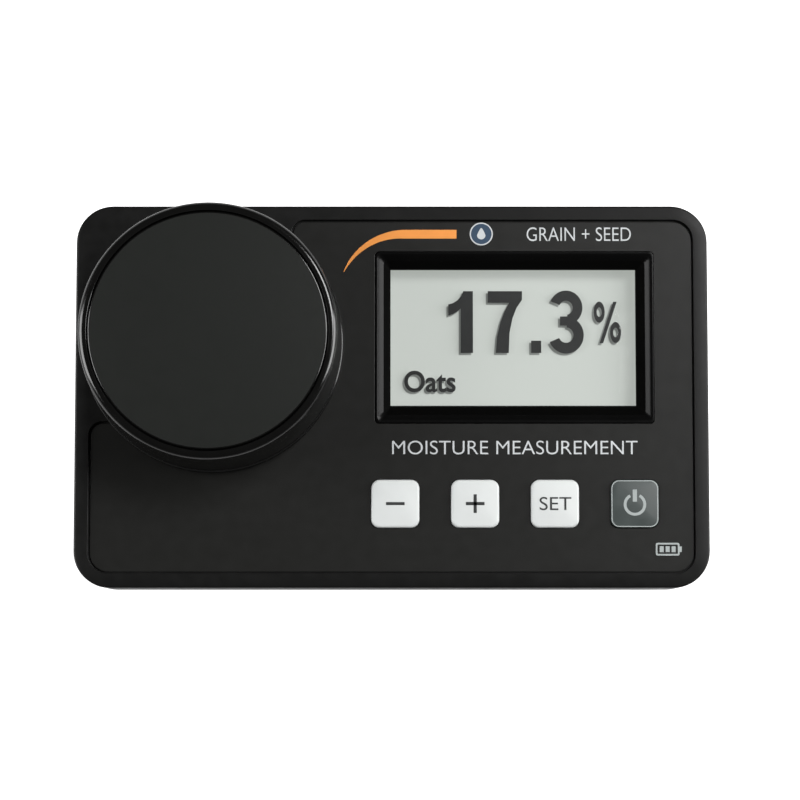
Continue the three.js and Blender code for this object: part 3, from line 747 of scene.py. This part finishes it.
for number in range(1, 5):
    makeCell(number)
print("cells made")


def ringTube(stations, steps=4):
    # a closed frame swept through rounded rectangles: (centre, half size, corner, height)
    shape = bmesh.new()
    rings = []
    for centre, half, corner, height in stations:
        ring = []
        for quarter, (sideX, sideY) in enumerate(((1, 1), (-1, 1), (-1, -1), (1, -1))):
            pivotX = centre.x + sideX * (half.x - corner)
            pivotY = centre.y + sideY * (half.y - corner)
            for step in range(steps + 1):
                angle = math.pi / 2 * (quarter + step / steps)
                ring.append(shape.verts.new((pivotX + corner * math.cos(angle),
                                             pivotY + corner * math.sin(angle), height)))
        rings.append(ring)
    for first, second in zip(rings, rings[1:] + rings[:1]):
        for index in range(len(first)):
            after = (index + 1) % len(first)
            shape.faces.new((first[index], first[after], second[after], second[index]))
    bmesh.ops.recalc_face_normals(shape, faces=shape.faces)
    return shape


# the slope is a list of (inward, drop) from the bezel's outer edge
bezelLook = {
    "clearance": 0.05, "flangeCorner": 1, "flangeHigh": 42.05, "edge": 0.2, "edgeShare": 0.3,
    "mouthCorner": 1.0, "viewCorner": 0.12, "drop": 2.4, "sightShift": 0.5, "sideMargin": 0.5,
    "backMargin": 0.3, "slope": [(0.35, 0.0), (0.55, 0.04), (0.9, 0.16), (1.4, 0.46), (2.0, 0.95)],
}


def makeBezel():
    # a flange under the panel, a thin rim rolled over and four walls that drop to the view
    look = bezelLook
    spot = ((bezelLow + bezelHigh) / 2).xy
    back, high = bezelLow.z + look["clearance"], bezelHigh.z
    outer = Vector((displayLook["halfX"], displayLook["halfY"]))
    flange = ((bezelHigh - bezelLow) / 2).xy
    viewSpot, view = displayLook["viewSpot"], displayLook["view"] / 2
    corner, edge, share = displayLook["corner"], look["edge"], look["edgeShare"]
    stations = [
        (spot, flange, look["flangeCorner"], back),
        (spot, flange, look["flangeCorner"], look["flangeHigh"]),
        (spot, outer, corner, look["flangeHigh"]), (spot, outer, corner, high - edge),
        (spot, outer - Vector((edge, edge)) * share, corner, high - edge * share),
    ]
    for inward, drop in look["slope"]:
        stations.append((spot, outer - Vector((inward, inward)), look["mouthCorner"], high - drop))
    sight = viewSpot - Vector((0, look["sightShift"]))
    stations += [(sight, view, look["viewCorner"], high - look["drop"]),
                 (viewSpot, view, look["viewCorner"], back)]
    shape = ringTube(stations)
    steepTop, steepLow = high - look["slope"][-1][1], bezelLow.z + look["backMargin"]
    for face in shape.faces:
        centre = face.calc_center_median()
        inner = abs(centre.x - spot.x) < outer.x - look["sideMargin"]
        face.material_index = 1 if inner and steepLow < centre.z < steepTop else 0
    addPiece("screen_bezel", shape, "case", "bezelGloss bezelMatt", ["display_bezel"])


# places of the figures are measured from the middle of the view and from their base line
screenLook = {
    "ground": 0.4, "inkGap": 1.08, "ink": 0.06, "paintedShadowShift": (-0.42, -0.36, -0.03), "base": 3.55,
    "one": -15.4, "seven": -5.95, "point": (5.6, 1.48, 2.4, 2.95), "three": 8.55,
    "percent": (19.45, -1.2), "word": ("Oats", -19.8, -10.4, 5.2, 12.3), "wordBold": 0.02,
    "paneCorner": 0.6, "paneEdge": 0.15,
}
oneOutline = [
    (2.95, 0), (5.9, 0), (5.9, 14.9), (3.6, 14.9), (3.1, 13.7), (2.2, 12.7), (1.1, 12.0), (0, 11.7),
    (0, 9.0), (1.1, 9.35), (2.1, 9.95), (2.95, 10.7),
]
sevenOutline = [
    (0, 12.1), (0, 14.9), (8.2, 14.9), (8.2, 12.8), (6.9, 10.9), (5.9, 8.3), (5.2, 4.9), (5.0, 0),
    (1.9, 0), (2.2, 3.9), (3.0, 7.3), (4.0, 10.0), (5.1, 12.1),
]
thinner, thinnest = 0.97, 0.94    # strokes that cross differ a little in thickness


def figureThree(x, y, thickness):
    # two open bowls joined at the waist; (x, y) is the lower left corner
    centre = x + 4.2
    upper = arcBand(centre, y + 10.9, 1.7, 4.15, -80, 238, thickness)
    lower = arcBand(centre, y + 4.3, 1.85, 4.45, -158, 243, thickness * thinner)
    waist = bar(centre - 0.2, y + 7.7, 2.6, 2.2, thickness=thickness * thinnest)
    return stretched(gathered(upper, lower, waist), (centre, y), 0.95, 1)


def percentSign(x, y, thickness):
    # two narrow rings and a leaning stroke; (x, y) is the lower left corner
    rings = []
    for across, up in ((1.25, 7.5), (5.15, 2.6)):
        ring = arcBand(x + across, y + up, 0.6, 1.32, 0, 360, thickness)
        rings.append(stretched(ring, (x + across, y + up), 1, 1.92))
    stroke = flatShape([(1.3, 0), (2.15, 0), (5.45, 10), (4.6, 10)], x, y, thickness * thinner)
    return gathered(*rings, stroke)


def makeScreen():
    look, view, low, high = screenLook, displayLook["viewSpot"], screenLow, screenHigh
    groundHeight = low.z + look["ground"]
    ground = roundedBlock(low, (high.x, high.y, groundHeight), 0)
    addPiece("screen_ground", ground, "case", "screenGround", ["lcd_glass"])
    inkHeight = groundHeight + look["inkGap"]
    ink = look["ink"]
    base = view.y - look["base"]
    pointX, pointY, pointWide, pointTall = look["point"]
    percentX, percentY = look["percent"]
    figures = gathered(
        flatShape(oneOutline, view.x + look["one"], base, ink),
        flatShape(sevenOutline, view.x + look["seven"], base, ink),
        bar(view.x + pointX, base + pointY, pointWide, pointTall, thickness=ink),
        figureThree(view.x + look["three"], base, ink),
        percentSign(view.x + percentX, view.y + percentY, ink),
    )
    words, x, y, tall, wide = look["word"]
    word = printedText(words, view.x + x, view.y + y, tall, wide, look["wordBold"], ink)
    # a painted shadow of the figures and the word: a paler copy of them laid on the ground, a little
    # down and to the left
    paintedShadow = gathered(figures.copy(), word.copy())
    moved(paintedShadow, look["paintedShadowShift"])
    addPiece("screen_painted_shadow", lifted(paintedShadow, groundHeight), "case", "screenPaintedShadow")
    addPiece("screen_figures", lifted(figures, inkHeight), "case", "screenInk")
    addPiece("screen_word", lifted(word, inkHeight), "case", "screenInk")
    pane = roundedBlock(windowLow, windowHigh, look["paneCorner"], 3)
    roundEdges(pane, atHeight(windowHigh.z), look["paneEdge"], 2)
    addPiece("screen_window", pane, "case", "clearWindow", ["display_window"])


makeBezel()
makeScreen()
print("display made")

def keySign(name, x, y):
    # the printed sign on a key, as thin solids resting at height 0
    if name == "minus":
        return bar(x, y, 4.4, 0.72)
    if name == "plus":
        return gathered(bar(x, y, 4.4, 0.76), bar(x, y, 0.76, 4.4))
    if name == "set":
        return printedText("SET", x + 0.1, y, 3.15, 7.5)
    # the power sign: an open ring with a stroke in its gap
    return gathered(arcBand(x, y - 0.2, 1.98, 2.66, 118, 304), bar(x, y + 1.9, 1.0, 2.9, 0.12))


def makeKey(name):
    look = keyLook
    spot = middle("key_" + name)
    low, high = nodeBox("key_" + name)
    top = high.z - look["topDrop"]
    cap = keyBlock(name, 0, look["low"], top)
    roundEdges(cap, atHeight(top), look["edge"], 4)
    side, flangeLow, flangeHigh = look["flange"]
    half = side / 2
    flange = centredBlock(*spot.xy, half, half, flangeLow, flangeHigh, look["corner"], 4)
    radius, reach = look["stem"]
    stem = cylinder(radius, *spot.xy, low.z, flangeLow + reach, 24)
    grey, body = name == "power", name + "_key"
    addPiece(name + "_keycap", gathered(cap, flange, stem), body,
             "greyKey" if grey else "whiteKey", ["key_" + name])
    sign = lifted(keySign(name, spot.x, spot.y), top)
    addPiece(name + "_sign", sign, body, "greyInk" if grey else "darkInk")
    if grey:
        outer, inner, drop = look["outline"]
        outline = cutAway(keyBlock(name, outer, 0, printThickness), keyBlock(name, inner, -over, over))
        addPiece("power_outline", lifted(outline, high.z - drop), body, "greyInk")


for name in keyNames:
    makeKey(name)
print("keys made")

# lines of words are (words, x, y, height, width)
printLook = {
    "title": ("MOISTURE MEASUREMENT", 29.1, -12.25, 3.25, 58.0),
    "range": ("GRAIN + SEED", 44.5, 38.75, 3.3, 24.8),
    "wordsBold": -0.007,
}
stripeLook = {
    "straight": (2.7, 15.4), "y": 38.75, "width": 2.0, "radius": 15.5, "sweep": 65.5, "tip": 0.05,
    "thinning": 0.8, "steps": 28,
}
dropLook = {
    "spot": (21.3, 38.8), "discR": 2.75, "discThickness": 0.02, "ring": (2.45, 2.75, 0, 360),
    "ringThickness": 0.04, "radius": 1.0, "narrowing": 0.55, "height": 1.75, "lower": 0.3,
}
cellSignLook = {
    "spot": (65.0, -36.3), "outside": (5.6, 3.0, 0.4), "inside": (4.8, 2.2, 0.2),
    "nubX": 3.05, "nub": (0.5, 1.3), "levels": (-1.4, 0, 1.4), "level": (0.95, 1.4),
}


def stripeShape():
    # a level stripe that runs into an arc and thins out to a point
    look = stripeLook
    start, end = look["straight"]
    half, radius, steps = look["width"] / 2, look["radius"], look["steps"]
    upper, lower = [], []
    for step in range(steps + 1):
        share = step / steps
        angle = math.radians(90 + look["sweep"] * share)
        thin = half * (1 - share) ** look["thinning"] + look["tip"]
        for side, reach in ((upper, radius + thin), (lower, radius - thin)):
            y = look["y"] - radius + reach * math.sin(angle)
            side.append((start + reach * math.cos(angle), y))
    half += look["tip"]
    points = [(end, look["y"] - half), (end, look["y"] + half), *upper, *reversed(lower)]
    return flatShape(points, 0, 0)


def dropMark(x, y):
    # a plain water drop: a disc drawn up to a point
    look = dropLook
    shape = cylinder(look["radius"], x, y, 0, printThickness, 32)
    for vert in shape.verts:
        above = vert.co.y - y
        if above > 0:
            vert.co.x = x + (vert.co.x - x) * (1 - above * look["narrowing"])
            vert.co.y = y + above * look["height"]
    return moved(shape, (0, -look["lower"], 0))


def addPrint(name, shape, ink):
    addPiece(name, lifted(shape, panelHeight), "case", ink)


def makePrints():
    for line in ("title", "range"):
        words, x, y, tall, wide = printLook[line]
        shape = printedText(words, x, y, tall, wide, printLook["wordsBold"])
        addPrint(line + "_print", shape, "lightInk")
    addPrint("stripe_print", stripeShape(), "orangeInk")
    look = dropLook
    x, y = look["spot"]
    disc = cylinder(look["discR"], x, y, 0, look["discThickness"], 64)
    addPrint("drop_disc", disc, "blueInk")
    ring = arcBand(x, y, *look["ring"], look["ringThickness"], 64)
    addPrint("drop_print", gathered(ring, dropMark(x, y)), "lightInk")
    look = cellSignLook
    x, y = look["spot"]
    outline = cutAway(bar(x, y, *look["outside"]), lifted(bar(x, y, *look["inside"], 2 * over), -over))
    nub = bar(x + look["nubX"], y, *look["nub"])
    levels = [bar(x + shift, y, *look["level"]) for shift in look["levels"]]
    addPrint("cell_print", gathered(outline, nub, *levels), "greyInk")


makePrints()
print("prints made")

capLook = {
    "baseR": 30.9, "baseRound": 0.4, "beadHeight": 1.5, "beadRound": 0.25, "step": (0.32, 0.25),
    "shoulderR": 29.85, "shoulderRound": 1.35, "rimR": 28.0, "rimEdge": 0.06, "plateR": 27.6,
    "plateEdge": 0.4, "plateLow": 67.6, "ceiling": 66.4, "bore": 27.9, "hubR": 6.0, "hubLow": 62.6,
}
threadLook = {
    "lead": 8.0, "turns": 0.75, "base": 2.4, "crest": 1.2, "height": 0.65, "root": 0.4,
    "male": 52.0, "female": 50.0, "steps": 60,
}


def threadRidge(radius, height, startHeight, startAngle):
    # one start of a screw thread, swept by a spin that also climbs
    look = threadLook
    shape = bmesh.new()
    root = -look["root"] if height > 0 else look["root"]
    section = [(radius + root, -look["base"] / 2), (radius + height, -look["crest"] / 2),
               (radius + height, look["crest"] / 2), (radius + root, look["base"] / 2)]
    turn = Matrix.Rotation(startAngle, 3, "Z")
    points = [shape.verts.new(turn @ Vector((r, 0, startHeight + z))) for r, z in section]
    face = shape.faces.new(points)
    climb = look["lead"] * look["turns"] / look["steps"]
    bmesh.ops.spin(shape, geom=[face, *face.verts, *face.edges], cent=(0, 0, 0), axis=(0, 0, 1),
                   dvec=(0, 0, climb), angle=math.tau * look["turns"], steps=look["steps"])
    bmesh.ops.recalc_face_normals(shape, faces=shape.faces)
    return moved(shape, (chamberSpot.x, chamberSpot.y, 0))


def threadRidges(radius, height, startHeight):
    return [threadRidge(radius, height, startHeight, start * math.pi) for start in range(2)]


def makeCap():
    look = capLook
    low, top = capLow.z, capHigh.z
    baseR, bore, beadTop = look["baseR"], look["bore"], low + look["beadHeight"]
    stepIn, stepUp = look["step"]
    edge = look["rimEdge"]
    inside = look["rimR"] - edge
    profile = [
        (0, look["hubLow"]), (look["hubR"], look["hubLow"]), (look["hubR"], look["ceiling"]),
        (bore, look["ceiling"]), (bore, low), (baseR, low), (baseR, beadTop),
        (baseR - stepIn, beadTop + stepUp), (look["shoulderR"], top), (look["rimR"], top),
        (inside, top - edge), (inside, look["plateLow"]), (0, look["plateLow"]),
    ]
    rounds = [(look["shoulderR"], top, look["shoulderRound"], 7),
              (baseR, beadTop, look["beadRound"], 3), (baseR, low, look["baseRound"], 3)]
    shell = lathe(profile, chamberSpot, fine, rounds)
    shape = gathered(shell, *threadRidges(bore, -threadLook["height"], threadLook["female"]))
    addPiece("screw_cap", shape, "cap", "capGloss", ["cap_body"])
    low, high = nodeBox("cap_top_plate")
    plateR, edge = look["plateR"], look["plateEdge"]
    face = lathe([(0, low.z), (plateR, low.z), (plateR, high.z), (0, high.z)], chamberSpot, fine,
                 [(plateR, high.z, edge, 5)])
    for side in face.faces:
        fromAxis = (side.calc_center_median().xy - chamberSpot.xy).length
        side.material_index = 1 if fromAxis > plateR - edge else 0
    addPiece("cap_face", face, "cap", "capFace capGloss", ["cap_top_plate"])


# the disc's lower side is (radius, rise from its face), its upper side (radius, height)
discLook = {
    "lower": [(0, 0), (14, 0), (20.5, 0.8), (22, 1.8)], "rounds": (0.8, 0.5),
    "upper": [(22, 60.8), (20.8, 61.4), (6.5, 61.4)], "hubR": 6.5, "well": (3.4, 2), "boreR": 1.65,
}


def makePressDisc():
    look = discLook
    low, high = nodeBox("press_disc")
    x, y, below = chamberSpot.x, chamberSpot.y, low.z - over
    profile = [(radius, low.z + rise) for radius, rise in look["lower"]] + look["upper"]
    rounds = [(*point, width, 3) for point, width in zip(profile[1:], look["rounds"])]
    shape = lathe(profile + [(look["hubR"], high.z), (0, high.z)], chamberSpot, rounds=rounds)
    wellR, depth = look["well"]
    well = cylinder(wellR, x, y, below, low.z + depth, 32)
    bore = cylinder(look["boreR"], x, y, below, high.z + over, 32)
    addPiece("press_plate", cutAway(shape, well, bore), "press_disc",
             "chamberPlastic", ["press_disc"])
    low, high = nodeBox("pivot_screw")
    rise, headR, shankR = screwLook["pivot"]
    screw = crossScrew(chamberSpot, low.z, low.z + rise, headR, shankR, high.z)
    addPiece("pivot_pin", screw, "cap", "screwSteel", ["pivot_screw"])


makeCap()
makePressDisc()
print("cap made")

chamberLook = {
    "outerR": 26.2, "innerR": 23.5, "floor": 12.0, "rimRound": 0.5,
    "flange": (29.2, 39.4, 41.4),   # radius, bottom, top
    "sleeve": (0.7, 0.1),           # its two faces, in from the chamber's wall
    "post": (2, 6, 0.05, 3.4),      # radius of the stem and the post, gap to the floor, round
}


def makeChamber():
    look = chamberLook
    low, high = nodeBox("chamber_cup")
    outer, inner, floor, rim = look["outerR"], look["innerR"], look["floor"], high.z
    flangeR, bottom, top = look["flange"]
    profile = [(0, low.z), (outer, low.z), (outer, bottom), (flangeR, bottom), (flangeR, top),
               (outer, top), (outer, rim), (inner, rim), (inner, floor), (0, floor)]
    rounds = [(radius, rim, look["rimRound"], 4) for radius in (outer, inner)]
    cup = lathe(profile, chamberSpot, fine, rounds)
    ridges = threadRidges(outer, threadLook["height"], threadLook["male"])
    addPiece("chamber", gathered(cup, *ridges), "case", "chamberPlastic",
             ["chamber_cup"])
    low, high = nodeBox("outer_electrode")
    thin, thick = (inner - depth for depth in look["sleeve"])
    profile = [(thin, low.z), (thick, low.z), (thick, high.z), (thin, high.z), (thin, low.z)]
    addPiece("sleeve_electrode", lathe(profile, chamberSpot, fine), "case",
             "turnedSteel", ["outer_electrode"])
    low, high = nodeBox("inner_electrode")
    stemR, postR, gap, width = look["post"]
    profile = [(0, low.z), (stemR, low.z), (stemR, floor + gap), (postR, floor + gap),
               (postR, high.z), (0, high.z)]
    post = lathe(profile, chamberSpot, 64, [(postR, high.z, width, 8)])
    addPiece("post_electrode", post, "case", "turnedSteel", ["inner_electrode"])


makeChamber()
print("chamber made")


def numbered(name, count):
    return [f"{name}_{number}" for number in range(1, count + 1)]


# finishes of the nodes that keep their own shape
nodeFinishes = {
    "rubber": ["chamber_seal", "shell_gasket", "cap_seal"],
    "nickel": ["lcd_frame", *numbered("battery_contact", 5)],
    "solderMask": ["lcd_board", "main_board"],
    "darkMoulding": ["lcd_header", "mcu_chip", *numbered("key_plunger", 4), *numbered("key_switch", 4)],
    "screwSteel": numbered("board_screw", 4),
    "brass": ["electrode_nut"],
    "turnedSteel": ["temperature_probe"],
    "diffuser": ["lcd_backlight"],
    "leadSleeve": ["signal_lead"],
}
for material, nodes in nodeFinishes.items():
    for node in nodes:
        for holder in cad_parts[node].material_slots:
            holder.material = materials[material]
print("finishes given")

stageLook = {
    "floor": 6.0, "drop": 0.00003, "floorColour": (0.6, 0.6, 0.6), "floorRoughness": 0.9,
    "glow": 0.25, "horizon": 0.35, "horizonBand": 0.3, "overhead": 0.05,
}
# each softbox is (place, size, power), and they all face the same point
softboxes = {
    "top right": ((0.55, 0.38, 1.05), (0.42, 0.42), 8.4),
    "left strip": ((-0.72, 0.02, 0.42), (0.4, 0.6), 5.8),
    "right strip": ((0.72, 0.02, 0.42), (0.4, 0.6), 6.5),
}
softboxAim = Vector((0, 0, 0.04))
cameraLook = {
    "tilt": 6.3, "distance": 0.78, "aim": (0.00196, -0.00095), "frameWidth": 0.18935,
    "sensor": 36, "farthest": 20,
}


def whiteToCamera(tree, seen):
    # 1 for what the camera sees directly, and the given strength for the light it casts
    path = tree.nodes.new("ShaderNodeLightPath")
    choice = tree.nodes.new("ShaderNodeMix")
    choice.inputs["B"].default_value = 1
    tree.links.new(path.outputs["Is Camera Ray"], choice.inputs["Factor"])
    if isinstance(seen, float):
        choice.inputs["A"].default_value = seen
    else:
        tree.links.new(seen, choice.inputs["A"])
    return choice.outputs["Result"]


def makeFloor():
    look = stageLook
    shape = bmesh.new()
    bmesh.ops.create_grid(shape, x_segments=2, y_segments=2, size=look["floor"])
    mesh = meshFrom("floor", shape)
    floor = placed("floor", mesh)
    material, tree, shader = emptyMaterial("floorPaper")
    setInputs(shader, {"Base Color": (*look["floorColour"], 1), "Roughness": look["floorRoughness"],
                       "Specular IOR Level": 0, "Emission Color": (1, 1, 1, 1)})
    tree.links.new(whiteToCamera(tree, look["glow"]), shader.inputs["Emission Strength"])
    # seen from below, the floor lets the underside show
    facing = tree.nodes.new("ShaderNodeNewGeometry")
    clear = tree.nodes.new("ShaderNodeBsdfTransparent")
    choice = tree.nodes.new("ShaderNodeMixShader")
    tree.links.new(facing.outputs["Backfacing"], choice.inputs["Fac"])
    tree.links.new(shader.outputs["BSDF"], choice.inputs[1])
    tree.links.new(clear.outputs["BSDF"], choice.inputs[2])
    tree.links.new(choice.outputs["Shader"], tree.nodes["Material Output"].inputs["Surface"])
    mesh.materials.append(material)
    floor.location.z = -look["drop"]


def makeRoom():
    # a white room, brighter near the horizon than overhead in the light it gives
    world = bpy.data.worlds.new("studio")
    world.use_nodes = True
    tree = world.node_tree
    place = tree.nodes.new("ShaderNodeTexCoord")
    split = tree.nodes.new("ShaderNodeSeparateXYZ")
    fade = tree.nodes.new("ShaderNodeMapRange")
    fade.interpolation_type = "SMOOTHSTEP"
    setInputs(fade, {"From Max": stageLook["horizonBand"], "To Min": stageLook["horizon"],
                     "To Max": stageLook["overhead"]})
    tree.links.new(place.outputs["Generated"], split.inputs["Vector"])
    tree.links.new(split.outputs["Z"], fade.inputs["Value"])
    background = tree.nodes["Background"]
    tree.links.new(whiteToCamera(tree, fade.outputs["Result"]), background.inputs["Strength"])
    background.inputs["Color"].default_value = (1, 1, 1, 1)
    bpy.context.scene.world = world


def addSoftbox(name, spot, size, power):
    light = bpy.data.lights.new(name, "AREA")
    light.shape = "RECTANGLE"
    light.size, light.size_y = size
    light.energy = power
    box = placed(name, light)
    box.location = spot
    box.rotation_euler = (softboxAim - Vector(spot)).to_track_quat("-Z", "Y").to_euler()


def makeCamera():
    look = cameraLook
    data = bpy.data.cameras.new("camera")
    data.sensor_width = look["sensor"]
    data.lens = look["sensor"] * look["distance"] / look["frameWidth"]
    data.clip_end = look["farthest"]
    camera = placed("camera", data)
    tilt = math.radians(look["tilt"])
    aim = Vector((*look["aim"], panelHeight / perMetre))
    camera.location = aim + Vector((0, -math.sin(tilt), math.cos(tilt))) * look["distance"]
    camera.rotation_euler = (tilt, 0, 0)
    bpy.context.scene.camera = camera


makeFloor()
makeRoom()
for name, (spot, size, power) in softboxes.items():
    addSoftbox(name, spot, size, power)
makeCamera()
bpy.context.scene.view_settings.view_transform = "Standard"
print("stage made")
